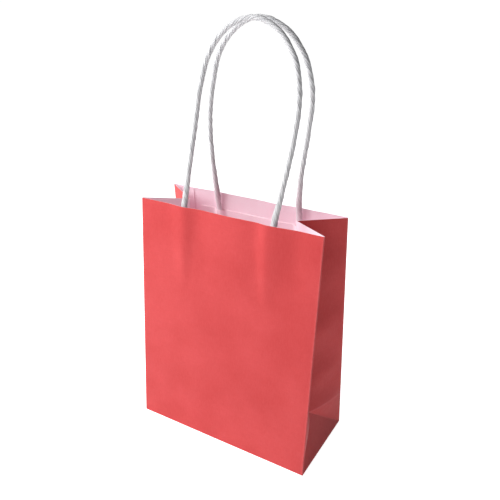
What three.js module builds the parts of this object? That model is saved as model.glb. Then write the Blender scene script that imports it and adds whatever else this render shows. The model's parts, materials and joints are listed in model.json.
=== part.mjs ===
// A small paper gift bag with two twisted-cord handles, standing open.
// Millimetres, +Z up, +X to the right, front panel towards -Y.
// The origin is the middle of the bottom, on the surface that the bag stands on.
//
// The bag is one folded sheet, so each flat between two creases is a solid of its own.
// The front and back panels lean towards each other, and the side gussets fold inwards.
import * as THREE from 'three';

// Driving dimensions
const WIDTH = 119;          // across the front panel
const DEPTH = 57;           // front to back at the bottom, and across an unfolded gusset
const HEIGHT = 150;         // of a panel, along the paper
const MOUTH = 32.4;         // front to back at the top edge, with the bag at rest
const FOLD_HEIGHT = 25;     // level crease across each gusset, along the paper
const FLAP_LENGTH = 37.5;   // of the bottom flaps, which overlap in the middle
const PAPER = 0.3;          // one sheet of paper
const GAP = 0.3;            // between pieces that touch
const CORD_RADIUS = 1.5;

// Handles and the paper patches that hold their ends
const PATCH_WIDTH = 84;
const PATCH_HEIGHT = 36;
const PATCH_DROP = 11;      // from the panel's top edge to the patch's
const PIVOT_RISE = 2.5;     // a loop bends this far above the panel's top edge
const LOOP_LEAN = THREE.MathUtils.degToRad(5.5);
const SEAM_WIDTH = 12;
const SEAM_INSET = 3.5;

// Clearances that the moving creases need
const CREASE_CLEAR = 1.6;   // from a corner fold to a gusset's solid
const CENTRE_CLEAR = 2.3;   // from a gusset's centre crease to each half
const DIAGONAL_CLEAR = 0.6;
const LEVEL_CLEAR = 0.4;
const SHEET_RISE = 0.8;     // from a bottom fold to the solid that stands on it
const LEG_CLEAR = 2.2;      // from a loop's pivot down to the glued leg
const LOOP_CLEAR = 0.6;     // from a loop's pivot up to the loop

// Counts
const GUSSET_ROWS = 14;
const CORD_SIDES = 8;
const CORD_STEPS = 48;
const ARC_STEPS = 10;

// Worked out from the above
const HALF_WIDTH = WIDTH / 2;
const HALF_DEPTH = DEPTH / 2;
const LEAN = Math.asin((HALF_DEPTH - MOUTH / 2) / HEIGHT);
const CORD_IN = 3 * PAPER + GAP + CORD_RADIUS;   // a cord's centreline, in from the outer face

// The handle loops, seen from the front: across, and up from the pivot in the loop's plane.
const FRONT_LOOP = [
  [-29.5, 0], [-27, 18], [-23.3, 44], [-20.2, 66], [-14.8, 82.8], [-4.2, 95], [9.8, 99.8],
  [23.1, 95.4], [34.2, 82.2], [38.3, 64], [37.2, 44], [33, 18], [29.5, 0],
];
const BACK_LOOP = [
  [-25, 0], [-26.2, 18], [-25.8, 44], [-21.5, 66], [-15.3, 82.8], [-3.5, 95.2], [9, 99.7],
  [23.8, 95], [34.3, 82.5], [38.6, 64], [36.5, 44], [32.1, 18], [30.5, 0],
];

const RED = new THREE.MeshStandardMaterial({ color: '#e5585c', roughness: 0.6, metalness: 0 });
const DARK_RED = new THREE.MeshStandardMaterial({ color: '#c94a4e', roughness: 0.6, metalness: 0 });
const WHITE = new THREE.MeshStandardMaterial({ color: '#f6eef0', roughness: 0.8, metalness: 0 });
const CORD = new THREE.MeshStandardMaterial({ color: '#f4f2f2', roughness: 0.85, metalness: 0 });

const bag = new THREE.Group();

function addPart(parent, name, geometry, material) {
  const mesh = new THREE.Mesh(geometry, material);
  mesh.name = name;
  parent.add(mesh);
  return mesh;
}

function boxBetween(low, high) {
  const size = high.map((value, i) => value - low[i]);
  const geometry = new THREE.BoxGeometry(...size);
  geometry.translate(...high.map((value, i) => (value + low[i]) / 2));
  return geometry;
}

// A closed sheet between two grids of points. Seen from outside, rows run up and points run
// to the right.
function sheetGeometry(outer, inner) {
  const rows = outer.length;
  const columns = outer[0].length;
  const points = [...outer.flat(), ...inner.flat()];
  const index = [];
  const out = (i, j) => i * columns + j;
  const back = (i, j) => rows * columns + i * columns + j;
  const quad = (a, b, c, d) => index.push(a, b, c, a, c, d);
  for (let i = 0; i < rows - 1; i += 1) {
    for (let j = 0; j < columns - 1; j += 1) {
      quad(out(i, j), out(i, j + 1), out(i + 1, j + 1), out(i + 1, j));
      quad(back(i, j), back(i + 1, j), back(i + 1, j + 1), back(i, j + 1));
    }
    quad(out(i, 0), out(i + 1, 0), back(i + 1, 0), back(i, 0));
    quad(out(i, columns - 1), back(i, columns - 1), back(i + 1, columns - 1), out(i + 1, columns - 1));
  }
  for (let j = 0; j < columns - 1; j += 1) {
    quad(out(0, j), back(0, j), back(0, j + 1), out(0, j + 1));
    quad(out(rows - 1, j), out(rows - 1, j + 1), back(rows - 1, j + 1), back(rows - 1, j));
  }
  const geometry = new THREE.BufferGeometry();
  geometry.setAttribute('position', new THREE.Float32BufferAttribute(points.flat(), 3));
  geometry.setIndex(index);
  return geometry;
}

// A flat plate from its outline in the X-Z plane, with its outer face at Y = 0.
function plateGeometry(outline, thickness) {
  const shape = new THREE.Shape(outline.map(([x, z]) => new THREE.Vector2(x, z)));
  const geometry = new THREE.ExtrudeGeometry(shape, { depth: thickness, bevelEnabled: false });
  geometry.rotateX(Math.PI / 2);
  geometry.translate(0, thickness, 0);
  return geometry;
}

function tubeGeometry(path, steps) {
  const section = new THREE.Shape();
  for (let i = 0; i < CORD_SIDES; i += 1) {
    const turn = (2 * Math.PI * i) / CORD_SIDES;
    const point = [CORD_RADIUS * Math.cos(turn), CORD_RADIUS * Math.sin(turn)];
    if (i === 0) section.moveTo(...point);
    else section.lineTo(...point);
  }
  section.closePath();
  return new THREE.ExtrudeGeometry(section, { steps, extrudePath: path, bevelEnabled: false });
}

// How far a gusset has folded in at a height along the paper, as the angle between each half
// and the front-to-back direction.
function foldAngle(height) {
  const reach = HALF_DEPTH - height * Math.sin(LEAN);
  return Math.acos(reach / (HALF_DEPTH * Math.cos(LEAN)));
}

// --- Bottom: a front and a back flap over two tucked ends -------------------------------------

function addBottom() {
  const edge = HALF_DEPTH - GAP;
  const side = HALF_WIDTH - GAP;
  const reach = FLAP_LENGTH - HALF_DEPTH;
  const tipHalfWidth = HALF_WIDTH - FLAP_LENGTH;
  const step = 2 * PAPER;
  const frontRows = [[-edge, side, 0], [reach, tipHalfWidth, 0]];
  const backRows = [
    [edge, side, 0],
    [reach + 2 * GAP + PAPER, HALF_WIDTH - HALF_DEPTH + reach + 3 * GAP, 0],
    [reach + GAP, HALF_WIDTH - HALF_DEPTH + reach + GAP, step],
    [-reach, tipHalfWidth, step],
  ];
  addPart(bag, 'bottom_front_flap', flapGeometry(frontRows), RED);
  addPart(bag, 'bottom_back_flap', flapGeometry(backRows), RED);
  const low = 4 * PAPER;
  const end = HALF_WIDTH - CREASE_CLEAR;
  for (const [name, sign] of [['left', -1], ['right', 1]]) {
    const ends = [sign * end, sign * (HALF_WIDTH - FLAP_LENGTH)].sort((a, b) => a - b);
    const half = HALF_DEPTH - 4 * GAP;
    const tuck = boxBetween([ends[0], -half, low], [ends[1], half, low + PAPER]);
    addPart(bag, `bottom_${name}_tuck`, tuck, WHITE);
  }
}

// A bottom flap from rows of [y, half width, z of its lower face].
function flapGeometry(rows) {
  const ordered = rows[0][0] < rows[1][0] ? rows : [...rows].reverse();
  const level = (rise) => ordered.map(([y, half, z]) => [[-half, y, z + rise], [half, y, z + rise]]);
  return sheetGeometry(level(PAPER), level(0));
}

// --- Gussets ----------------------------------------------------------------------------------

// The triangle that stands on one side of the bottom, between the gusset's two diagonals.
function addFoot(name, turn) {
  const fold = foldAngle(FOLD_HEIGHT);
  const tilt = Math.asin((HALF_DEPTH * Math.sin(fold)) / FOLD_HEIGHT);
  const slope = HALF_DEPTH / FOLD_HEIGHT;
  const inset = DIAGONAL_CLEAR * Math.hypot(1, slope);
  const foot = HALF_DEPTH - inset - SHEET_RISE * slope;
  const tip = FOLD_HEIGHT - inset / slope;
  const outline = [[-foot, SHEET_RISE], [foot, SHEET_RISE], [0, tip]];
  const stand = new THREE.Group();
  stand.rotation.z = turn;
  const hinge = new THREE.Group();
  hinge.position.set(0, -HALF_WIDTH, 0);
  hinge.rotation.x = -tilt;
  addPart(hinge, name, plateGeometry(outline, PAPER), DARK_RED);
  stand.add(hinge);
  bag.add(stand);
}

// A point of a gusset, in its panel's frame. side is 1 on the panel's right, across is the
// distance from the corner fold and deep is how far in from the paper's outer face.
function gussetPoint(side, height, across, deep, angle) {
  const x = HALF_WIDTH - across * Math.sin(angle) - deep * Math.cos(angle);
  const y = across * Math.cos(angle) - deep * Math.sin(angle);
  return [side * x, y, height];
}

// Rows of [height, nearest, furthest] across the gusset make one closed sheet.
function gussetGeometry(side, rows, angleAt) {
  const level = (deep) => rows.map(([height, near, far]) => {
    const ends = [near, far].map((across) => gussetPoint(side, height, across, deep, angleAt(height)));
    return side > 0 ? ends : ends.reverse();
  });
  return sheetGeometry(level(0), level(PAPER));
}

// The small triangle between a diagonal, the level crease and the panel.
function addCorner(panel, name, side) {
  const angle = foldAngle(FOLD_HEIGHT);
  const slope = HALF_DEPTH / FOLD_HEIGHT;
  const inset = DIAGONAL_CLEAR * Math.hypot(1, slope);
  const low = (CREASE_CLEAR + inset) / slope;
  const high = FOLD_HEIGHT - LEVEL_CLEAR;
  const rows = [
    [low + PAPER, CREASE_CLEAR, CREASE_CLEAR + PAPER * slope],
    [high, CREASE_CLEAR, high * slope - inset],
  ];
  addPart(panel, name, gussetGeometry(side, rows, () => angle), DARK_RED);
}

// The long half of a gusset above the level crease, which twists as it folds in.
function addGussetHalf(panel, name, side) {
  const rows = [];
  for (let i = 0; i <= GUSSET_ROWS; i += 1) {
    const start = FOLD_HEIGHT + LEVEL_CLEAR;
    const height = start + ((HEIGHT - start) * i) / GUSSET_ROWS;
    rows.push([height, CREASE_CLEAR, HALF_DEPTH - CENTRE_CLEAR]);
  }
  addPart(panel, name, gussetGeometry(side, rows, foldAngle), DARK_RED);
}

// --- Panels, patches and handles ----------------------------------------------------------------

// The paper over a patch's cords: flat, with a ridge over each leg.
function coverGeometry(centre, legs) {
  const flat = 3 * PAPER + GAP;
  const shape = new THREE.Shape();
  shape.moveTo(centre - PATCH_WIDTH / 2, flat);
  const inside = CORD_RADIUS + GAP;
  const outside = inside + PAPER;
  for (const leg of legs) {
    shape.lineTo(leg - inside, flat);
    shape.lineTo(leg - inside, CORD_IN);
    shape.absarc(leg, CORD_IN, inside, Math.PI, 0, true);
    shape.lineTo(leg + inside, flat);
  }
  shape.lineTo(centre + PATCH_WIDTH / 2, flat);
  shape.lineTo(centre + PATCH_WIDTH / 2, flat + PAPER);
  for (const leg of [...legs].reverse()) {
    shape.lineTo(leg + outside, flat + PAPER);
    shape.lineTo(leg + outside, CORD_IN);
    shape.absarc(leg, CORD_IN, outside, 0, Math.PI, false);
    shape.lineTo(leg - outside, flat + PAPER);
  }
  shape.lineTo(centre - PATCH_WIDTH / 2, flat + PAPER);
  const options = { depth: PATCH_HEIGHT, bevelEnabled: false, curveSegments: ARC_STEPS };
  const geometry = new THREE.ExtrudeGeometry(shape, options);
  geometry.translate(0, 0, HEIGHT - PATCH_DROP - PATCH_HEIGHT);
  return geometry;
}

function addPatch(panel, face, legs) {
  const centre = (legs[0] + legs[1]) / 2;
  const top = HEIGHT - PATCH_DROP;
  const low = [centre - PATCH_WIDTH / 2, 2 * PAPER, top - PATCH_HEIGHT];
  const high = [centre + PATCH_WIDTH / 2, 3 * PAPER, top];
  addPart(panel, `${face}_patch_backing`, boxBetween(low, high), WHITE);
  addPart(panel, `${face}_patch_cover`, coverGeometry(centre, legs), WHITE);
  const names = ['a', 'b'];
  legs.forEach((leg, i) => {
    const bottom = new THREE.Vector3(leg, CORD_IN, top - PATCH_HEIGHT + 2 * CORD_RADIUS);
    const end = new THREE.Vector3(leg, CORD_IN, HEIGHT + PIVOT_RISE - LEG_CLEAR);
    const path = new THREE.LineCurve3(bottom, end);
    addPart(panel, `${face}_cord_end_${names[i]}`, tubeGeometry(path, 1), CORD);
  });
}

// A loop stands on its pivot, which lies across the panel just above its top edge.
function addHandle(panel, face, loop) {
  const pivot = new THREE.Group();
  pivot.position.set(0, CORD_IN, HEIGHT + PIVOT_RISE);
  pivot.rotation.x = LEAN - LOOP_LEAN;
  const raised = loop.map(([x, up], i) => {
    const atEnd = i === 0 || i === loop.length - 1;
    return new THREE.Vector3(x, 0, atEnd ? up + LOOP_CLEAR : up);
  });
  const path = new THREE.CatmullRomCurve3(raised);
  addPart(pivot, `${face}_handle`, tubeGeometry(path, CORD_STEPS), CORD);
  panel.add(pivot);
}

// A panel's frame: X across, Y in from its outer face, Z up along the paper.
// turn is 0 for the front and half a turn for the back.
function panelFrame(turn) {
  const stand = new THREE.Group();
  stand.rotation.z = turn;
  const frame = new THREE.Group();
  frame.position.set(0, -HALF_DEPTH, 0);
  frame.rotation.x = -LEAN;
  stand.add(frame);
  bag.add(stand);
  return frame;
}

function addFace(face, turn, loop) {
  const frame = panelFrame(turn);
  const panel = boxBetween([-HALF_WIDTH, 0, SHEET_RISE], [HALF_WIDTH, PAPER, HEIGHT]);
  addPart(frame, `${face}_panel`, panel, RED);
  for (const side of [-1, 1]) {
    const flip = turn === 0 ? 1 : -1;
    const hand = side * flip > 0 ? 'right' : 'left';
    addCorner(frame, `${hand}_gusset_${face}_corner`, side);
    addGussetHalf(frame, `${hand}_gusset_${face}_half`, side);
  }
  const legs = [loop[0][0], loop[loop.length - 1][0]];
  addPatch(frame, face, legs);
  addHandle(frame, face, loop);
  return frame;
}

// The back's frame is turned round, so its loop is listed from the other side.
function seenFromBehind(loop) {
  return loop.map(([x, up]) => [-x, up]).reverse();
}

addBottom();
addFoot('right_gusset_foot', Math.PI / 2);
addFoot('left_gusset_foot', -Math.PI / 2);
addFace('front', 0, FRONT_LOOP);
const back = addFace('back', Math.PI, seenFromBehind(BACK_LOOP));

// The sheet's two ends are glued here, inside the back panel along one corner.
const seamLow = [HALF_WIDTH - SEAM_INSET - SEAM_WIDTH, 2 * PAPER, 2 * SHEET_RISE];
const seamHigh = [HALF_WIDTH - SEAM_INSET, 3 * PAPER, HEIGHT - PAPER];
addPart(back, 'side_seam', boxBetween(seamLow, seamHigh), WHITE);

export default bag;
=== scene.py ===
"""A small coral paper gift bag with twisted paper handles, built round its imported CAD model.

The bag is one folded sheet, so every flat between two creases is a thin piece of its own that meets
its neighbours at the fold. Lengths are in metres.
"""

import json
import math

import bpy
import numpy as np
from mathutils import Euler, Matrix, Vector


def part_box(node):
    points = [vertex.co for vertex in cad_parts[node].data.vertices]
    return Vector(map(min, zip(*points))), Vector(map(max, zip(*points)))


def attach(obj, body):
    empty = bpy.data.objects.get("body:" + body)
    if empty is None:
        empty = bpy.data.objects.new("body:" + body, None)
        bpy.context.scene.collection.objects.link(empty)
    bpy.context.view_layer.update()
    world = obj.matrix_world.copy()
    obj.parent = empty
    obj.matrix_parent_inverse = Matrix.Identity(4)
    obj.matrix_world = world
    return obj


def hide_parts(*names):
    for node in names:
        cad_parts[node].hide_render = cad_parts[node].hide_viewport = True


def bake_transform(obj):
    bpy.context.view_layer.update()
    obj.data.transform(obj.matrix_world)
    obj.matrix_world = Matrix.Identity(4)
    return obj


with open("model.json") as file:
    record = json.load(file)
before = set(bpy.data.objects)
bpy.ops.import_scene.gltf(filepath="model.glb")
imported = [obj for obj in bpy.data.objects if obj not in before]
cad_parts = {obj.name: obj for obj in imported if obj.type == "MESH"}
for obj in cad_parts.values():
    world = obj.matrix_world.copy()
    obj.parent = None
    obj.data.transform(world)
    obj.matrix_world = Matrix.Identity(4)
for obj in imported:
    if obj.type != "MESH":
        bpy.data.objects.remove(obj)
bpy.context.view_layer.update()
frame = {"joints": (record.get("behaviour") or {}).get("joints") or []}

MM = 0.001

# Sizes that the frame gives
JOINTS = {joint["name"]: joint for joint in frame["joints"]}
HALF_DEPTH = abs(JOINTS["front_panel_open"]["pos_m"][1])
HALF_WIDTH = abs(JOINTS["right_foot_fold"]["pos_m"][0])
LEAN = math.asin(abs(JOINTS["right_front_half_fold"]["axis"][1]))
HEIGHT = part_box("front_panel")[1].z / math.cos(LEAN)
PIVOT = Vector(JOINTS["front_handle_swing"]["pos_m"])

# Sizes that the paper sets
PAPER = 0.24 * MM
FOLD_RADIUS = 0.5 * MM      # outside, at a crease
FOLD_HEIGHT = 25 * MM       # the level crease across each gusset, along the paper
BLEND_LOW = -65 * MM        # below the floor; a blend from panel to gusset half would start here, but none is made
FLAP_LENGTH = 37.5 * MM
FLAP_LAP = FLAP_LENGTH - HALF_DEPTH    # past the middle
FLAP_RISE = 0.35 * MM       # of the back flap, where it lies on the front one
PATCH_WIDTH = 84 * MM
PATCH_HEIGHT = 36 * MM
PATCH_DROP = 11 * MM        # from a panel's top edge to its patch
SEAM_WIDTH = 12 * MM
SEAM_INSET = 3.5 * MM
LAYER = 0.06 * MM           # of glue, between two sheets
RIDGE_HEIGHT = 2.0 * MM     # of a patch's cover, over each cord
RIDGE_WIDTH = 3.1 * MM
WEAR_AND_HIGHLIGHT_REACH = 0.4 * MM       # how far from a crease the print is worn and the painted fold highlight reaches
FLOOR_CLEAR = 0.02 * MM     # keeps the sheets and the floor apart

# Sizes that the cords set
CORD_RADIUS = 1.5 * MM
CORD_PITCH = 19 * MM        # one turn of the twist
CORD_FOLDS = 6              # folds of the rolled paper that show round the cord
CORD_LEG = 47 * MM          # of a cord that lies on the panel, at each end
CORD_SIDES = 48
CORD_STEP = 0.45 * MM
LOOP_LEAN = math.radians(5.5)

FACES = {"front": 1, "back": -1}
HANDS = {"right": 1, "left": -1}

# The loops as the CAD model has them: across, and up from the pivot in the loop's plane, in mm.
LOOPS = {
    "front": [
        (-29.5, 0), (-27, 18), (-23.3, 44), (-20.2, 66), (-14.8, 82.8), (-4.2, 95), (9.8, 99.8),
        (23.1, 95.4), (34.2, 82.2), (38.3, 64), (37.2, 44), (33, 18), (29.5, 0),
    ],
    "back": [
        (-25, 0), (-26.2, 18), (-25.8, 44), (-21.5, 66), (-15.3, 82.8), (-3.5, 95.2), (9, 99.7),
        (23.8, 95), (34.3, 82.5), (38.6, 64), (36.5, 44), (32.1, 18), (30.5, 0),
    ],
}

# The glued legs' points, up the paper, in mm.
LEG_HEIGHTS = (106, 115, 124, 134, 140, 145, 149)

# How the panels swell: (across mm, half-width on the left, on the right, outward mm) at the top edge.
SWELLS = {
    "front": [(3, 12, 12, 0.45), (46, 6, 5, -0.5), (-16, 6, 7, -0.3), (12, 9, 8, 0.3)],
    "back": [(-46, 7, 7, -0.4), (14, 7, 7, -0.75), (48, 7, 7, 0.3)],
}
# The same over each glued cord end. They narrow and flatten towards the end of the cord.
CORD_SWELLS = {
    "front": [(-28.5, 7, 5.5, 1.4), (27, 5, 10, 1.6)],
    "back": [(-28, 6, 6, 0.6), (31, 6, 5, 0.4)],
}
CORD_END = 106 * MM         # how far up the paper the glued ends start
SWELL_LOW = 75 * MM         # the panels swell from here
SWELL_HIGH = 146 * MM       # to their full swell here

# The soft bulges up a gusset half: (height up the paper, reach down, reach up, outward), in mm.
GUSSET_BULGES = [(25, 6, 7, 1.15), (49, 7, 8, 1.0), (81, 9, 10, 1.25), (118, 12, 16, 1.1)]

# How finely the sheets are divided
ARC_STEPS = 9
PANEL_ROWS = 60
PANEL_COLUMNS = 74
BEND_ROWS = 5
GUSSET_ROWS = 44
GUSSET_COLUMNS = 16
FACET_STEPS = 14
FOOT_STEPS = 20
FLAP_ROWS = 24
FLAP_COLUMNS = 40
TUCK_ROWS = 16
TUCK_COLUMNS = 16
PATCH_ROWS = 40
PATCH_COLUMNS = 150
SEAM_ROWS = 60
SEAM_COLUMNS = 12
SHARP_ANGLE = math.radians(35)


# --- The paper's shape ------------------------------------------------------------------------

def ease(low, high, value):
    """0 below low, 1 above high, and smooth in between."""
    t = min(max((value - low) / (high - low), 0.0), 1.0)
    return t * t * (3 - 2 * t)


def in_panel(face, x, deep, up):
    """A point from a panel's own frame: across, in from its outer face, and up along the paper."""
    y = -HALF_DEPTH + up * math.sin(LEAN) + deep * math.cos(LEAN)
    z = up * math.cos(LEAN) - deep * math.sin(LEAN)
    return Vector((x, FACES[face] * y, z))


def hump(x, centre, left, right):
    """1 at centre, falling off over a different distance to each side."""
    offset = x - centre
    return math.exp(-(offset / (left if offset < 0 else right)) ** 2)


def swell(face, x, up):
    """How far a panel's outer face stands out of its plane."""
    across = x / MM
    fade = ease(SWELL_LOW, SWELL_HIGH, up)
    total = sum(out * hump(across, at, left, right) for at, left, right, out in SWELLS[face]) * fade
    share = ease(CORD_END - 12 * MM, CORD_END + 34 * MM, up)
    narrow = 0.45 + 0.55 * share
    for at, left, right, out in CORD_SWELLS[face]:
        total += out * share**0.8 * hump(across, at, left * narrow, right * narrow)
    ripple = 0.10 * math.sin(across / 17 + 1.3) * math.sin(up / (23 * MM) + 0.4)
    ripple += 0.05 * math.sin(across / 6.5 + up / (19 * MM)) * math.sin(up / (11 * MM))
    rim = max(1 - (x / HALF_WIDTH) ** 4, 0.0)
    return (total + ripple) * MM * rim


def fold_angle(up):
    """A gusset half's angle from the front-to-back direction."""
    height = max(up, FOLD_HEIGHT)
    reach = HALF_DEPTH - height * math.sin(LEAN)
    return math.acos(reach / (HALF_DEPTH * math.cos(LEAN)))


def gusset_section(up):
    """A half's section in its panel's frame: its angle, where the corner fold ends, its far crease."""
    angle = fold_angle(up)
    crease = np.array((HALF_WIDTH - HALF_DEPTH * math.sin(angle), HALF_DEPTH * math.cos(angle)))
    centre = np.array((HALF_WIDTH - FOLD_RADIUS, FOLD_RADIUS))
    to_centre = centre - crease
    distance = float(np.hypot(*to_centre))
    turn = math.atan2(to_centre[1], to_centre[0]) + math.acos(-FOLD_RADIUS / distance)
    start = centre + FOLD_RADIUS * np.array((math.cos(turn), math.sin(turn)))
    return turn, start, crease


def gusset_dent(share, up):
    """How far a gusset half stands out of its flat, from its corner fold to the centre crease."""
    height = up / MM
    dent = 0.0
    for at, down, above, out in GUSSET_BULGES:
        slant = (4 - 10 * share) * ease(30, 40, at)
        dent += out * hump(height, at + slant, down, above)
    return dent * MM * math.sin(math.pi * share) ** 0.8


# --- Meshes -----------------------------------------------------------------------------------

def new_object(name, vertices, faces, materials, face_slots):
    """A smooth-shaded mesh object. face_slots says which material each face has."""
    mesh = bpy.data.meshes.new(name)
    mesh.from_pydata([tuple(v) for v in vertices], [], faces)
    for material in materials:
        mesh.materials.append(material)
    mesh.polygons.foreach_set("material_index", face_slots)
    mesh.polygons.foreach_set("use_smooth", [True] * len(faces))
    mesh.set_sharp_from_angle(angle=SHARP_ANGLE)
    mesh.update()
    piece = bpy.data.objects.new(name, mesh)
    bpy.context.scene.collection.objects.link(piece)
    return piece


def point_attribute(piece, name, values):
    """One number at each point, for the materials."""
    attribute = piece.data.attributes.new(name, "FLOAT", "POINT")
    attribute.data.foreach_set("value", values)


def grid_normals(points):
    """Unit normals at a grid of points."""
    across = np.gradient(points, axis=1)
    upward = np.gradient(points, axis=0)
    normals = np.cross(across, upward)
    return normals / np.maximum(np.linalg.norm(normals, axis=2, keepdims=True), 1e-12)


def paper_piece(name, outer, materials, crease, inner=None):
    """A closed sheet. outer holds rows of points, upwards, that run to the right as seen from outside.

    materials are the outer face's, the inner face's and the cut edge's.
    """
    points = np.array(outer, float)
    rows, columns = points.shape[:2]
    if inner is None:
        inner = points - grid_normals(points) * PAPER
        inner[:, :, 2] = np.maximum(inner[:, :, 2], FLOOR_CLEAR)
    vertices = np.concatenate([points.reshape(-1, 3), np.array(inner, float).reshape(-1, 3)])
    faces, slots = [], []

    def quad(a, b, c, d, material):
        faces.append((a, b, c, d))
        slots.append(material)

    back = rows * columns
    for i in range(rows - 1):
        for j in range(columns - 1):
            a = i * columns + j
            quad(a, a + 1, a + 1 + columns, a + columns, 0)
            quad(back + a, back + a + columns, back + a + 1 + columns, back + a + 1, 1)
    for i in range(rows - 1):
        a, b = i * columns, (i + 1) * columns
        quad(a, b, back + b, back + a, 2)
        a, b = a + columns - 1, b + columns - 1
        quad(a, back + a, back + b, b, 2)
    last = (rows - 1) * columns
    for j in range(columns - 1):
        quad(j, back + j, back + j + 1, j + 1, 2)
        quad(last + j, last + j + 1, back + last + j + 1, back + last + j, 2)
    piece = new_object(name, vertices, faces, materials, slots)
    wear_and_highlight = np.array(crease, float).reshape(-1)
    point_attribute(piece, "crease", np.concatenate([wear_and_highlight, wear_and_highlight]))
    return piece


def wear_and_highlight_at(distance):
    """How worn the print is, and how strong the painted fold highlight, at a distance from a crease."""
    return math.exp(-(distance / WEAR_AND_HIGHLIGHT_REACH) ** 2)


def spread(low, high, count, edge=0.3 * MM):
    """Places from low to high that crowd together at both ends, where the creases are."""
    tight = [edge * k * k / 2 for k in range(1, 5)]
    start = [low] + [low + t for t in tight[:-1]]
    middle = list(np.linspace(low + tight[-1], high - tight[-1], count))
    end = [high - t for t in tight[-2::-1]] + [high]
    return start + middle + end


# --- Materials --------------------------------------------------------------------------------

class Nodes:
    """A short way to write a node tree."""

    def __init__(self, name):
        self.material = bpy.data.materials.new(name)
        self.material.use_nodes = True
        self.tree = self.material.node_tree
        self.shader = self.tree.nodes["Principled BSDF"] if self.tree.nodes else None
        if self.shader is None:
            self.shader = self.tree.nodes.new("ShaderNodeBsdfPrincipled")
            output = self.tree.nodes.new("ShaderNodeOutputMaterial")
            self.tree.links.new(self.shader.outputs[0], output.inputs[0])

    def add(self, kind, **settings):
        node = self.tree.nodes.new("ShaderNode" + kind)
        for key, value in settings.items():
            setattr(node, key, value)
        return node

    def link(self, source, target):
        self.tree.links.new(source, target)

    def place(self, stretch=(1, 1, 1)):
        """Object coordinates in millimetres, stretched."""
        coordinates = self.add("TexCoord")
        mapping = self.add("Mapping")
        mapping.inputs["Scale"].default_value = [s / MM for s in stretch]
        self.link(coordinates.outputs["Object"], mapping.inputs["Vector"])
        return mapping.outputs["Vector"]

    def noise(self, vector, scale, detail=2.0, roughness=0.5):
        node = self.add("TexNoise")
        node.inputs["Scale"].default_value = scale
        node.inputs["Detail"].default_value = detail
        node.inputs["Roughness"].default_value = roughness
        self.link(vector, node.inputs["Vector"])
        return node.outputs["Fac"]

    def span(self, value, low, high, to_low=0.0, to_high=1.0):
        """A value's range moved to another range, and held at its limits."""
        node = self.add("MapRange")
        limits = {"From Min": low, "From Max": high, "To Min": to_low, "To Max": to_high}
        for key, number in limits.items():
            node.inputs[key].default_value = number
        self.link(value, node.inputs["Value"])
        return node.outputs["Result"]

    def mix(self, factor, first, second):
        """first and second are colours or sockets."""
        node = self.add("Mix", data_type="RGBA")
        self.link(factor, node.inputs["Factor"])
        for socket, value in ((node.inputs["A"], first), (node.inputs["B"], second)):
            if isinstance(value, tuple):
                socket.default_value = (*value, 1)
            else:
                self.link(value, socket)
        return node.outputs["Result"]

    def math(self, operation, first, second):
        node = self.add("Math", operation=operation)
        for socket, value in zip(node.inputs, (first, second)):
            if isinstance(value, float):
                socket.default_value = value
            else:
                self.link(value, socket)
        return node.outputs[0]

    def bump(self, height, strength, distance, normal=None):
        node = self.add("Bump")
        node.inputs["Strength"].default_value = strength
        node.inputs["Distance"].default_value = distance
        self.link(height, node.inputs["Height"])
        if normal is not None:
            self.link(normal, node.inputs["Normal"])
        return node.outputs["Normal"]

    def attribute(self, name):
        return self.add("Attribute", attribute_name=name).outputs["Fac"]

    def finish(self, colour=None, roughness=None, normal=None, **fixed):
        """Link the shader's inputs, set the fixed ones and give the material."""
        for key, socket in (("Base Color", colour), ("Roughness", roughness), ("Normal", normal)):
            if socket is not None:
                self.link(socket, self.shader.inputs[key])
        for key, value in fixed.items():
            self.shader.inputs[key.replace("_", " ")].default_value = value
        return self.material


def printed_paper(name):
    """Coral print on smooth coated paper: faint clouds in the ink, fibres, paler where it is creased,
    partly worn print and partly a painted highlight along the folds.
    """
    nodes = Nodes(name)
    place = nodes.place()
    clouds = nodes.noise(place, 0.035, 4.0)
    mottle = nodes.noise(place, 0.35, 4.0, 0.6)
    fibres = nodes.noise(nodes.place((1.0, 1.0, 0.18)), 1.7, 5.0, 0.65)
    laid = nodes.noise(nodes.place((0.2, 0.2, 1.0)), 1.4, 4.0, 0.6)
    ink = nodes.mix(nodes.span(clouds, 0.36, 0.62), (0.60, 0.040, 0.042), (0.67, 0.058, 0.061))
    ink = nodes.mix(nodes.span(mottle, 0.3, 0.75, 0.0, 0.2), ink, (0.58, 0.046, 0.047))
    ink = nodes.mix(nodes.span(fibres, 0.35, 0.7, 0.0, 0.2), ink, (0.76, 0.11, 0.115))
    ink = nodes.mix(nodes.span(laid, 0.4, 0.7, 0.0, 0.16), ink, (0.52, 0.036, 0.038))
    # Paler along the creases: worn print, and a painted highlight along the folds.
    wear_and_highlight_amount = nodes.math("MULTIPLY", nodes.attribute("crease"), nodes.span(mottle, 0.3, 0.7, 0.05, 0.28))
    ink = nodes.mix(wear_and_highlight_amount, ink, (0.80, 0.22, 0.23))
    roughness = nodes.span(mottle, 0.3, 0.7, 0.46, 0.56)
    normal = nodes.bump(fibres, 0.16, 0.05 * MM)
    normal = nodes.bump(nodes.noise(place, 0.11, 2.0), 0.3, 0.25 * MM, normal)
    return nodes.finish(ink, roughness, normal, Specular_IOR_Level=0.32)


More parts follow.
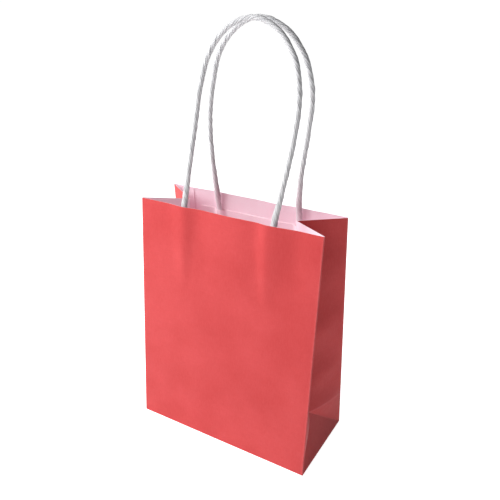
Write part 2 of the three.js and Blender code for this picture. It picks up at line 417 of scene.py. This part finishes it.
def plain_paper(name, light, deep, streaks=1.0, glow=0.0):
    """Uncoated white paper that the print shows through: pinkish, with fibres.

    The glow is painted light: a faint red emission that stands in for the light that comes through thin
    paper from outside.
    """
    nodes = Nodes(name)
    place = nodes.place()
    clouds = nodes.noise(place, 0.06, 3.0)
    flecks = nodes.noise(nodes.place((1.0, 1.0, 1.0 / streaks)), 1.1, 5.0, 0.7)
    colour = nodes.mix(nodes.span(clouds, 0.35, 0.65), light, deep)
    darker = tuple(0.86 * c for c in deep)
    colour = nodes.mix(nodes.span(flecks, 0.45, 0.75, 0.0, 0.25), colour, darker)
    roughness = nodes.span(flecks, 0.3, 0.7, 0.72, 0.86)
    normal = nodes.bump(flecks, 0.35, 0.06 * MM)
    normal = nodes.bump(nodes.noise(place, 0.16, 2.0), 0.35, 0.3 * MM, normal)
    return nodes.finish(
        colour, roughness, normal, Specular_IOR_Level=0.2,
        Emission_Color=(1.0, 0.40, 0.47, 1.0), Emission_Strength=glow,
    )


def cord_paper(name):
    """Tightly twisted white paper: fine creases that follow the twist, and painted shade in the grooves
    between its folds.
    """
    nodes = Nodes(name)
    twist = nodes.add("Attribute", attribute_name="twist").outputs["Vector"]
    creases = nodes.noise(twist, 3.4, 6.0, 0.62)
    broad = nodes.noise(twist, 1.1, 3.0)
    fibres = nodes.noise(nodes.place(), 3.0, 3.0, 0.6)
    colour = nodes.mix(nodes.span(creases, 0.35, 0.62), (0.56, 0.56, 0.58), (0.74, 0.74, 0.75))
    # Painted shade: darker in the grooves between the cord's twisted folds.
    groove_shade = nodes.math("MULTIPLY", nodes.attribute("groove_shade"), 0.9)
    colour = nodes.mix(groove_shade, colour, (0.22, 0.22, 0.25))
    # Painted light: a pink tint on the back cord's ends, for light bounced off the bag's pink inside.
    painted_bounce = nodes.math("MULTIPLY", nodes.attribute("painted_bounce"), 0.6)
    colour = nodes.mix(painted_bounce, colour, (0.88, 0.76, 0.81))
    roughness = nodes.span(broad, 0.3, 0.7, 0.62, 0.8)
    normal = nodes.bump(creases, 0.5, 0.14 * MM)
    normal = nodes.bump(fibres, 0.15, 0.04 * MM, normal)
    return nodes.finish(colour, roughness, normal, Specular_IOR_Level=0.28)


PRINT = printed_paper("coral_print")
# The inside's glow is painted light, for light that comes through the paper.
INSIDE = plain_paper("inside_white", (0.94, 0.80, 0.87), (0.92, 0.75, 0.83), glow=0.10)
EDGE = plain_paper("cut_edge", (0.94, 0.76, 0.80), (0.90, 0.66, 0.70))
# The patch's glow is painted light, for light that comes through the paper.
PATCH = plain_paper("patch_white", (0.95, 0.82, 0.88), (0.93, 0.77, 0.84), streaks=0.3, glow=0.10)
CORD = cord_paper("cord_white")
SHEET = (PRINT, INSIDE, EDGE)


def keep(piece, slot, *nodes):
    """Hide the CAD nodes that a piece stands for. The slot argument is not used."""
    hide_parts(*nodes)
    return piece


# --- Panels -------------------------------------------------------------------------------------

def panel_section(up):
    """The outer line across a panel at a height, round both corner folds: (across, deep, wear and painted
    highlight).
    """
    turn = gusset_section(up)[0]
    centre = HALF_WIDTH - FOLD_RADIUS
    flat = [(x, 0.0, wear_and_highlight_at(centre - abs(x))) for x in spread(-centre, centre, PANEL_COLUMNS)]
    bend = []
    for k in range(1, ARC_STEPS + 1):
        angle = -math.pi / 2 + (turn + math.pi / 2) * k / ARC_STEPS
        bend.append((centre + FOLD_RADIUS * math.cos(angle), FOLD_RADIUS * (1 + math.sin(angle)), 1.0))
    return [(-x, deep, wear_and_highlight) for x, deep, wear_and_highlight in reversed(bend)] + flat + bend


def add_panel(face):
    """A panel from its bottom fold to its top edge, with half of each corner fold."""
    rows, creases = [], []
    heights = [FOLD_RADIUS * k / BEND_ROWS for k in range(BEND_ROWS)]
    heights += spread(FOLD_RADIUS, HEIGHT, PANEL_ROWS)
    for up in heights:
        below = max(FOLD_RADIUS - up, 0.0)
        tuck = FOLD_RADIUS - math.sqrt(max(FOLD_RADIUS**2 - below**2, 0.0))
        row = panel_section(up)
        if FACES[face] < 0:
            row = [(-x, deep, wear_and_highlight) for x, deep, wear_and_highlight in row]
        points = [in_panel(face, x, deep + tuck - swell(face, x, up), up) for x, deep, _ in row]
        rows.append(points)
        creases.append([max(wear_and_highlight, wear_and_highlight_at(up)) for _, _, wear_and_highlight in row])
    piece = paper_piece(f"{face}_sheet", rows, SHEET, creases)
    keep(piece, "printed_paper", f"{face}_panel")
    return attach(piece, f"{face}_panel")


# --- Gussets ------------------------------------------------------------------------------------

def add_gusset_half(hand, face):
    """The long half above the level crease."""
    side = HANDS[hand]
    rows, inner, creases = [], [], []
    shares = spread(0.0, 1.0, GUSSET_COLUMNS, edge=0.012)
    for up in spread(FOLD_HEIGHT, HEIGHT, GUSSET_ROWS):
        turn, start, crease = gusset_section(up)
        out = np.array((math.cos(turn), math.sin(turn)))
        length = float(np.hypot(*(crease - start)))
        outer_row, inner_row, wear_and_highlight_row = [], [], []
        for share in shares:
            at = start + (crease - start) * share + out * gusset_dent(share, up)
            mitre = np.array((-PAPER / math.cos(turn), 0.0))
            under = at - out * PAPER
            under += (mitre + out * PAPER) * ease(0.9, 1.0, share)
            outer_row.append(in_panel(face, side * at[0], at[1], up))
            inner_row.append(in_panel(face, side * under[0], under[1], up))
            to_crease = min(share * length, (1 - share) * length, up - FOLD_HEIGHT)
            wear_and_highlight_row.append(wear_and_highlight_at(to_crease))
        if side * FACES[face] < 0:
            for row in (outer_row, inner_row, wear_and_highlight_row):
                row.reverse()
        rows.append(outer_row)
        inner.append(inner_row)
        creases.append(wear_and_highlight_row)
    piece = paper_piece(f"{hand}_gusset_{face}", rows, SHEET, creases, inner=inner)
    keep(piece, "printed_paper", f"{hand}_gusset_{face}_half")
    start = in_panel(face, side * HALF_WIDTH, 0, BLEND_LOW)
    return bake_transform(piece)


def triangle_rows(low, high_start, high_end, count):
    """Rows of points that fill the triangle from the point low to the edge high_start, high_end."""
    rows = []
    for i in range(count + 1):
        share = max(i / count, 0.004)
        first = low.lerp(high_start, share)
        last = low.lerp(high_end, share)
        rows.append([first.lerp(last, j / count) for j in range(count + 1)])
    return rows


def triangle_wear_and_highlight(rows, corners):
    """Wear and painted fold highlight along a triangle's three sides."""
    sides = [(corners[k], corners[(k + 1) % 3]) for k in range(3)]
    wear_and_highlight = []
    for row in rows:
        wear_and_highlight.append([max(wear_and_highlight_at(distance_to(point, *side)) for side in sides) for point in row])
    return wear_and_highlight


def distance_to(point, first, second):
    """From a point to the line between two others."""
    along = second - first
    share = max(0.0, min(1.0, (point - first).dot(along) / along.length_squared))
    return (point - first - along * share).length


def gusset_corner_points(hand, face):
    """The bottom corner, the level crease's outer end and the point where a gusset's creases meet."""
    side = HANDS[hand]
    _, start, crease = gusset_section(FOLD_HEIGHT)
    bottom = in_panel(face, side * start[0], start[1], 0)
    outer = in_panel(face, side * start[0], start[1], FOLD_HEIGHT)
    meeting = in_panel(face, side * crease[0], crease[1], FOLD_HEIGHT)
    return bottom, outer, meeting


def add_gusset_corner(hand, face):
    """The small triangle between the corner fold, the level crease and the foot."""
    bottom, outer, meeting = gusset_corner_points(hand, face)
    corner = Vector((HANDS[hand] * HALF_WIDTH, -FACES[face] * HALF_DEPTH, 0))
    ends = [outer, meeting]
    if HANDS[hand] * FACES[face] < 0:
        ends.reverse()
    rows = triangle_rows(corner.lerp(bottom, 0.5), ends[0], ends[1], FACET_STEPS)
    wear_and_highlight = triangle_wear_and_highlight(rows, [bottom, outer, meeting])
    out = (ends[1] - ends[0]).cross(bottom - ends[0]).normalized()
    out *= math.copysign(1, out.x * HANDS[hand])
    for i, row in enumerate(rows):
        fade = ease(0.25, 1.0, i / FACET_STEPS)
        for j, point in enumerate(row):
            point += out * gusset_dent(j / FACET_STEPS, FOLD_HEIGHT) * fade
    piece = paper_piece(f"{hand}_gusset_{face}_facet", rows, SHEET, wear_and_highlight)
    keep(piece, "printed_paper", f"{hand}_gusset_{face}_corner")
    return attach(piece, f"{hand}_{face}_corner")


def add_foot(hand):
    """The triangle that stands on the bottom's side edge."""
    side = HANDS[hand]
    meeting = gusset_corner_points(hand, "front")[2]
    ends = [Vector((side * HALF_WIDTH, y, 0)) for y in (-side * HALF_DEPTH, side * HALF_DEPTH)]
    rows = triangle_rows(meeting, ends[0], ends[1], FOOT_STEPS)
    rows.reverse()
    wear_and_highlight = triangle_wear_and_highlight(rows, [ends[0], ends[1], meeting])
    piece = paper_piece(f"{hand}_foot_sheet", rows, SHEET, wear_and_highlight)
    keep(piece, "printed_paper", f"{hand}_gusset_foot")
    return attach(piece, f"{hand}_foot")


# --- Bottom -------------------------------------------------------------------------------------

def flat_piece(name, rows, materials):
    """A sheet without worn creases or painted fold highlights."""
    creases = [[0.0] * len(rows[0]) for _ in rows]
    return paper_piece(name, rows, materials, creases)


def add_flap(face, rise):
    """A bottom flap: its long edge at the fold, its ends cut back at 45 degrees.

    It runs past the middle, and rises there if it lies on the other flap.
    """
    sign = FACES[face]
    rows = []
    edge = HALF_DEPTH - FOLD_RADIUS
    for i in range(FLAP_ROWS + 1):
        y = edge + (-FLAP_LAP - edge) * i / FLAP_ROWS
        half = HALF_WIDTH - FOLD_RADIUS - (edge - y)
        z = rise * ease(9 * MM, 18 * MM, edge - y)
        xs = [half * (2 * j / FLAP_COLUMNS - 1) for j in range(FLAP_COLUMNS + 1)]
        row = [Vector((x, -sign * y, z)) for x in xs]
        if sign > 0:
            row.reverse()
        rows.append(row)
    piece = flat_piece(f"bottom_{face}_sheet", rows, SHEET)
    keep(piece, "printed_paper", f"bottom_{face}_flap")
    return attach(piece, "base")


def add_tuck(hand):
    """A tucked end, printed side down: it rises from its fold to lie on the two flaps."""
    side = HANDS[hand]
    near = HALF_WIDTH - 0.1 * MM
    far = HALF_WIDTH - FLAP_LENGTH
    half = HALF_DEPTH - 1.0 * MM
    level = 0.66 * MM
    rows = []
    for i in range(TUCK_ROWS + 1):
        y = half * (1 - 2 * i / TUCK_ROWS)
        row = []
        for x in spread(far, near, TUCK_COLUMNS):
            row.append(Vector((side * x, y, level * ease(0.0, 3 * MM, near - x) + FLOOR_CLEAR)))
        if side < 0:
            row.reverse()
        rows.append(row)
    piece = flat_piece(f"{hand}_tuck_sheet", rows, SHEET)
    keep(piece, "printed_paper", f"bottom_{hand}_tuck")
    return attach(piece, "base")


# --- Patches, seam and handles ------------------------------------------------------------------

def ridge(x, legs, width):
    """1 over each cord, falling off to each side."""
    return sum(math.exp(-(((x - leg) / width) ** 4)) for leg in legs)


def add_inner_strip(name, face, xs, ups, deep_at, materials, node, slot):
    """A strip glued inside a panel. deep_at(x, up) is where its panel side lies."""
    rows = []
    for up in ups:
        row = [in_panel(face, x, deep_at(x, up) - swell(face, x, up), up) for x in xs]
        if FACES[face] < 0:
            row.reverse()
        rows.append(row)
    piece = flat_piece(name, rows, materials)
    keep(piece, slot, node)
    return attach(piece, f"{face}_panel")


def add_patch(face):
    """A handle patch: a flat backing strip, and a cover strip that runs over both cord ends."""
    legs = [LOOPS[face][0][0] * MM, LOOPS[face][-1][0] * MM]
    centre = sum(legs) / 2
    top = HEIGHT - PATCH_DROP
    backing_deep = PAPER + LAYER
    cover_deep = backing_deep + PAPER + LAYER
    xs = list(np.linspace(centre - PATCH_WIDTH / 2, centre + PATCH_WIDTH / 2, PATCH_COLUMNS))
    ups = list(np.linspace(top - PATCH_HEIGHT, top, PATCH_ROWS))
    add_inner_strip(
        f"{face}_patch_backing_strip", face, xs, ups, lambda x, up: backing_deep,
        (PATCH, PATCH, EDGE), f"{face}_patch_backing", "patch_paper",
    )

    def cover(x, up):
        wrinkle = 0.04 * MM * math.sin(x / (2.1 * MM) + 3 * math.sin(up / (9 * MM)))
        over_cords = RIDGE_HEIGHT * ridge(x, legs, RIDGE_WIDTH)
        return cover_deep + over_cords + wrinkle * ridge(x, legs, 9 * MM) + 0.05 * MM

    add_inner_strip(
        f"{face}_patch_cover_strip", face, xs, ups, cover,
        (PATCH, PATCH, EDGE), f"{face}_patch_cover", "patch_paper",
    )


def add_seam():
    """The lap where the sheet's two ends are glued, inside the back panel's left corner."""
    low = -(HALF_WIDTH - SEAM_INSET)
    xs = list(np.linspace(low, low + SEAM_WIDTH, SEAM_COLUMNS))
    ups = list(np.linspace(1.6 * MM, HEIGHT - 0.3 * MM, SEAM_ROWS))
    return add_inner_strip(
        "side_seam_strip", "back", xs, ups, lambda x, up: PAPER + LAYER,
        (INSIDE, INSIDE, EDGE), "side_seam", "printed_paper",
    )


def catmull_rom(points, steps):
    """Points along the smooth curve through points, as the CAD model's loop runs."""
    padded = [2 * points[0] - points[1]] + list(points) + [2 * points[-1] - points[-2]]
    line = []
    for k in range(1, len(padded) - 2):
        p0, p1, p2, p3 = padded[k - 1:k + 3]
        knots = [0.0]
        for first, second in ((p0, p1), (p1, p2), (p2, p3)):
            knots.append(knots[-1] + np.linalg.norm(second - first) ** 0.5)
        for step in range(steps):
            t = knots[1] + (knots[2] - knots[1]) * step / steps
            a1 = (p0 * (knots[1] - t) + p1 * (t - knots[0])) / (knots[1] - knots[0])
            a2 = (p1 * (knots[2] - t) + p2 * (t - knots[1])) / (knots[2] - knots[1])
            a3 = (p2 * (knots[3] - t) + p3 * (t - knots[2])) / (knots[3] - knots[2])
            b1 = (a1 * (knots[2] - t) + a2 * (t - knots[0])) / (knots[2] - knots[0])
            b2 = (a2 * (knots[3] - t) + a3 * (t - knots[1])) / (knots[3] - knots[1])
            line.append((b1 * (knots[2] - t) + b2 * (t - knots[1])) / (knots[2] - knots[1]))
    line.append(points[-1])
    return np.array(line)


def even(line, step):
    """The same line with its points about step apart, and how far along it each one is."""
    along = np.concatenate([[0], np.cumsum(np.linalg.norm(np.diff(line, axis=0), axis=1))])
    places = np.linspace(0, along[-1], int(round(along[-1] / step)) + 1)
    return np.stack([np.interp(places, along, line[:, k]) for k in range(3)], axis=1), places


def cord_route(face):
    """The cord's centreline: glued leg, loop, glued leg.

    A leg lies pressed under its patch, and comes out to the pivot's depth at the panel's edge.
    """
    sign = FACES[face]
    pivot = Vector((0, sign * PIVOT.y, PIVOT.z))
    up = Vector((0, sign * math.sin(LOOP_LEAN), math.cos(LOOP_LEAN)))
    loop = [pivot + Vector((x * MM, 0, 0)) + up * (height * MM) for x, height in LOOPS[face]]
    pressed = PAPER * 2 + LAYER * 2 + 0.95 * MM
    free = (PIVOT.y + HALF_DEPTH - PIVOT.z * math.tan(LEAN)) * math.cos(LEAN)
    legs = []
    for x in (LOOPS[face][0][0] * MM, LOOPS[face][-1][0] * MM):
        leg = []
        for height in LEG_HEIGHTS:
            share = ease(136 * MM, 152 * MM, height * MM)
            deep = pressed + (free - pressed) * share
            deep -= swell(face, x, height * MM) * (1 - 0.5 * share)
            leg.append(in_panel(face, x, deep, height * MM))
        legs.append(leg)
    points = legs[0] + loop + legs[1][::-1]
    return np.array([tuple(p) for p in points])


def cord_thickness(near_end):
    """How a cord is pressed at a distance from its end: its width, its thickness and how far it flares."""
    flat = 1 - ease(CORD_LEG - 16 * MM, CORD_LEG + 2 * MM, near_end)
    flare = 1 - ease(CORD_LEG - 6 * MM, CORD_LEG + 22 * MM, near_end)
    return 1 + 0.42 * flare, 1 + 0.16 * flare - 0.5 * flat, flare


def cord_surface(face, line, along):
    """Points round a cord that follow its twist, and what its material reads at each of them."""
    tangents = np.gradient(line, axis=0)
    tangents /= np.linalg.norm(tangents, axis=1, keepdims=True)
    sideways = np.array((0, math.cos(LOOP_LEAN), -FACES[face] * math.sin(LOOP_LEAN)))
    vertices, twist, groove_shade, painted_bounce = [], [], [], []
    for point, tangent, place in zip(line, tangents, along):
        first = np.cross(sideways, tangent)
        first /= np.linalg.norm(first)
        second = np.cross(tangent, first)
        near_end = min(place, along[-1] - place)
        wide, thick, flare = cord_thickness(near_end)
        # Painted light: the back cord's glued ends are tinted pink for bounce light from the bag's inside,
        # fading up the cord.
        bounce_pink = 1 - ease(CORD_LEG - 6 * MM, CORD_LEG + 30 * MM, near_end) if face == "back" else 0.0
        for k in range(CORD_SIDES):
            phase = 2 * math.pi * k / CORD_SIDES
            angle = phase - 2 * math.pi * place / CORD_PITCH
            bend = 0.5 * math.sin(2 * phase + place / (19 * MM))
            lobe = abs(math.cos(CORD_FOLDS * phase / 2 + bend))
            loose = 0.65 + 0.35 * math.sin(3 * phase + place / (8 * MM)) * math.sin(place / (13 * MM) + 1)
            wander = 0.03 * math.sin(phase + place / (9 * MM))
            wander += 0.02 * math.sin(2 * phase - place / (5 * MM))
            radius = CORD_RADIUS * (0.80 + 0.20 * loose * lobe**0.6 + wander)
            offset = first * math.cos(angle) * wide + second * math.sin(angle) * thick
            vertices.append(point + offset * radius)
            twist.append((math.cos(phase) * 1.6, math.sin(phase) * 1.6, place / (26 * MM)))
            # Painted shade in the grooves between the folds, weaker where the cord flares.
            groove_shade.append(loose * (1 - lobe) ** 2 * (1 - 0.7 * flare))
            painted_bounce.append(bounce_pink)
    return vertices, twist, groove_shade, painted_bounce


def tube_faces(rings):
    """The faces of a closed tube of rings, CORD_SIDES points each."""
    faces = []
    for i in range(rings - 1):
        for k in range(CORD_SIDES):
            a = i * CORD_SIDES + k
            b = i * CORD_SIDES + (k + 1) % CORD_SIDES
            faces.append((a, b, b + CORD_SIDES, a + CORD_SIDES))
    last = (rings - 1) * CORD_SIDES
    faces.append(tuple(range(CORD_SIDES - 1, -1, -1)))
    faces.append(tuple(range(last, last + CORD_SIDES)))
    return faces


def add_cord(face):
    """A twisted paper cord, swept along its route and pressed flat where it is glued in."""
    line, along = even(catmull_rom(cord_route(face), 14), CORD_STEP)
    for _ in range(3):
        line[1:-1] = (line[:-2] + 2 * line[1:-1] + line[2:]) / 4
    vertices, twist, groove_shade, painted_bounce = cord_surface(face, line, along)
    faces = tube_faces(len(line))
    piece = new_object(f"{face}_cord", vertices, faces, [CORD], [0] * len(faces))
    attribute = piece.data.attributes.new("twist", "FLOAT_VECTOR", "POINT")
    attribute.data.foreach_set("vector", np.array(twist).reshape(-1))
    point_attribute(piece, "groove_shade", groove_shade)
    point_attribute(piece, "painted_bounce", painted_bounce)
    nodes = (f"{face}_handle", f"{face}_cord_end_a", f"{face}_cord_end_b")
    keep(piece, "twisted_cord", *nodes)
    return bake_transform(piece)


# --- The stage ----------------------------------------------------------------------------------

AZIMUTH = math.radians(30.47)
ELEVATION = math.radians(24.17)
ROLL = math.radians(0.17)
DISTANCE = 345.03 * MM
SENSOR = 36.0
LENS = 41.9
AIM_ASIDE = 5.48 * MM       # the camera looks at a point beside the bag's middle line
AIM_HEIGHT = 122.45 * MM


def add_camera():
    """The camera at the viewing angle that the bag is shown from."""
    data = bpy.data.cameras.new("camera")
    data.sensor_width = SENSOR
    data.lens = LENS
    data.clip_start = 0.01
    camera = bpy.data.objects.new("camera", data)
    bpy.context.scene.collection.objects.link(camera)
    turn = Euler((math.pi / 2 - ELEVATION, 0, AZIMUTH)).to_matrix() @ Matrix.Rotation(ROLL, 3, "Z")
    aim = Vector((AIM_ASIDE * math.cos(AZIMUTH), AIM_ASIDE * math.sin(AZIMUTH), AIM_HEIGHT))
    place = aim + turn.col[2] * DISTANCE
    camera.matrix_world = Matrix.Translation(place) @ turn.to_4x4()
    bpy.context.scene.camera = camera


def add_light(name, azimuth, elevation, distance, size, power):
    """A soft disk light that faces the bag's middle: degrees, metres and watts."""
    data = bpy.data.lights.new(name, "AREA")
    data.shape = "DISK"
    data.size = size
    data.energy = power
    light = bpy.data.objects.new(name, data)
    bpy.context.scene.collection.objects.link(light)
    turn = Euler((math.pi / 2 - math.radians(elevation), 0, math.radians(azimuth))).to_matrix()
    target = Vector((0, 0, HEIGHT / 2))
    light.matrix_world = Matrix.Translation(target + turn.col[2] * distance) @ turn.to_4x4()


def add_floor():
    """A wide floor that the camera sees as white, and that throws a dimmer light on the bag."""
    mesh = bpy.data.meshes.new("floor")
    half = 60.0
    corners = [(-half, -half, 0), (half, -half, 0), (half, half, 0), (-half, half, 0)]
    mesh.from_pydata(corners, [], [(0, 1, 2, 3)])
    floor = bpy.data.objects.new("floor", mesh)
    bpy.context.scene.collection.objects.link(floor)
    floor.location.z = -FLOOR_CLEAR
    nodes = Nodes("floor_white")
    tree = nodes.tree
    glow = nodes.add("Emission")
    path = nodes.add("LightPath")
    strength = nodes.span(path.outputs["Is Camera Ray"], 0.0, 1.0, 0.64, 0.99)
    tree.links.new(strength, glow.inputs["Strength"])
    nodes.finish(Base_Color=(0.85, 0.85, 0.85, 1), Roughness=0.9, Specular_IOR_Level=0.1)
    both = nodes.add("AddShader")
    tree.links.new(nodes.shader.outputs[0], both.inputs[0])
    tree.links.new(glow.outputs[0], both.inputs[1])
    output = next(node for node in tree.nodes if node.type == "OUTPUT_MATERIAL")
    tree.links.new(both.outputs[0], output.inputs[0])
    mesh.materials.append(nodes.material)


def add_world():
    """White behind the bag, and a dimmer, even light on it."""
    world = bpy.data.worlds.new("studio")
    world.use_nodes = True
    bpy.context.scene.world = world
    tree = world.node_tree
    background = tree.nodes.get("Background") or tree.nodes.new("ShaderNodeBackground")
    output = next((n for n in tree.nodes if n.type == "OUTPUT_WORLD"), None)
    output = output or tree.nodes.new("ShaderNodeOutputWorld")
    path = tree.nodes.new("ShaderNodeLightPath")
    strength = tree.nodes.new("ShaderNodeMapRange")
    strength.inputs["To Min"].default_value = 0.05
    strength.inputs["To Max"].default_value = 1.05
    background.inputs["Color"].default_value = (1, 1, 1, 1)
    tree.links.new(path.outputs["Is Camera Ray"], strength.inputs["Value"])
    tree.links.new(strength.outputs["Result"], background.inputs["Strength"])
    tree.links.new(background.outputs[0], output.inputs["Surface"])


add_camera()
add_world()
add_floor()
add_light("key", -68, 42, 0.65, 0.5, 4.2)
add_light("front_key", -38, 36, 0.75, 0.6, 2.3)
add_light("back", 195, 30, 1.2, 0.8, 2.2)
bpy.context.scene.view_settings.view_transform = "Standard"

for panel_face in FACES:
    add_panel(panel_face)
    add_patch(panel_face)
    add_cord(panel_face)
    for gusset_hand in HANDS:
        add_gusset_half(gusset_hand, panel_face)
        add_gusset_corner(gusset_hand, panel_face)
for gusset_hand in HANDS:
    add_foot(gusset_hand)
    add_tuck(gusset_hand)
add_flap("front", 0.0)
add_flap("back", FLAP_RISE)
add_seam()
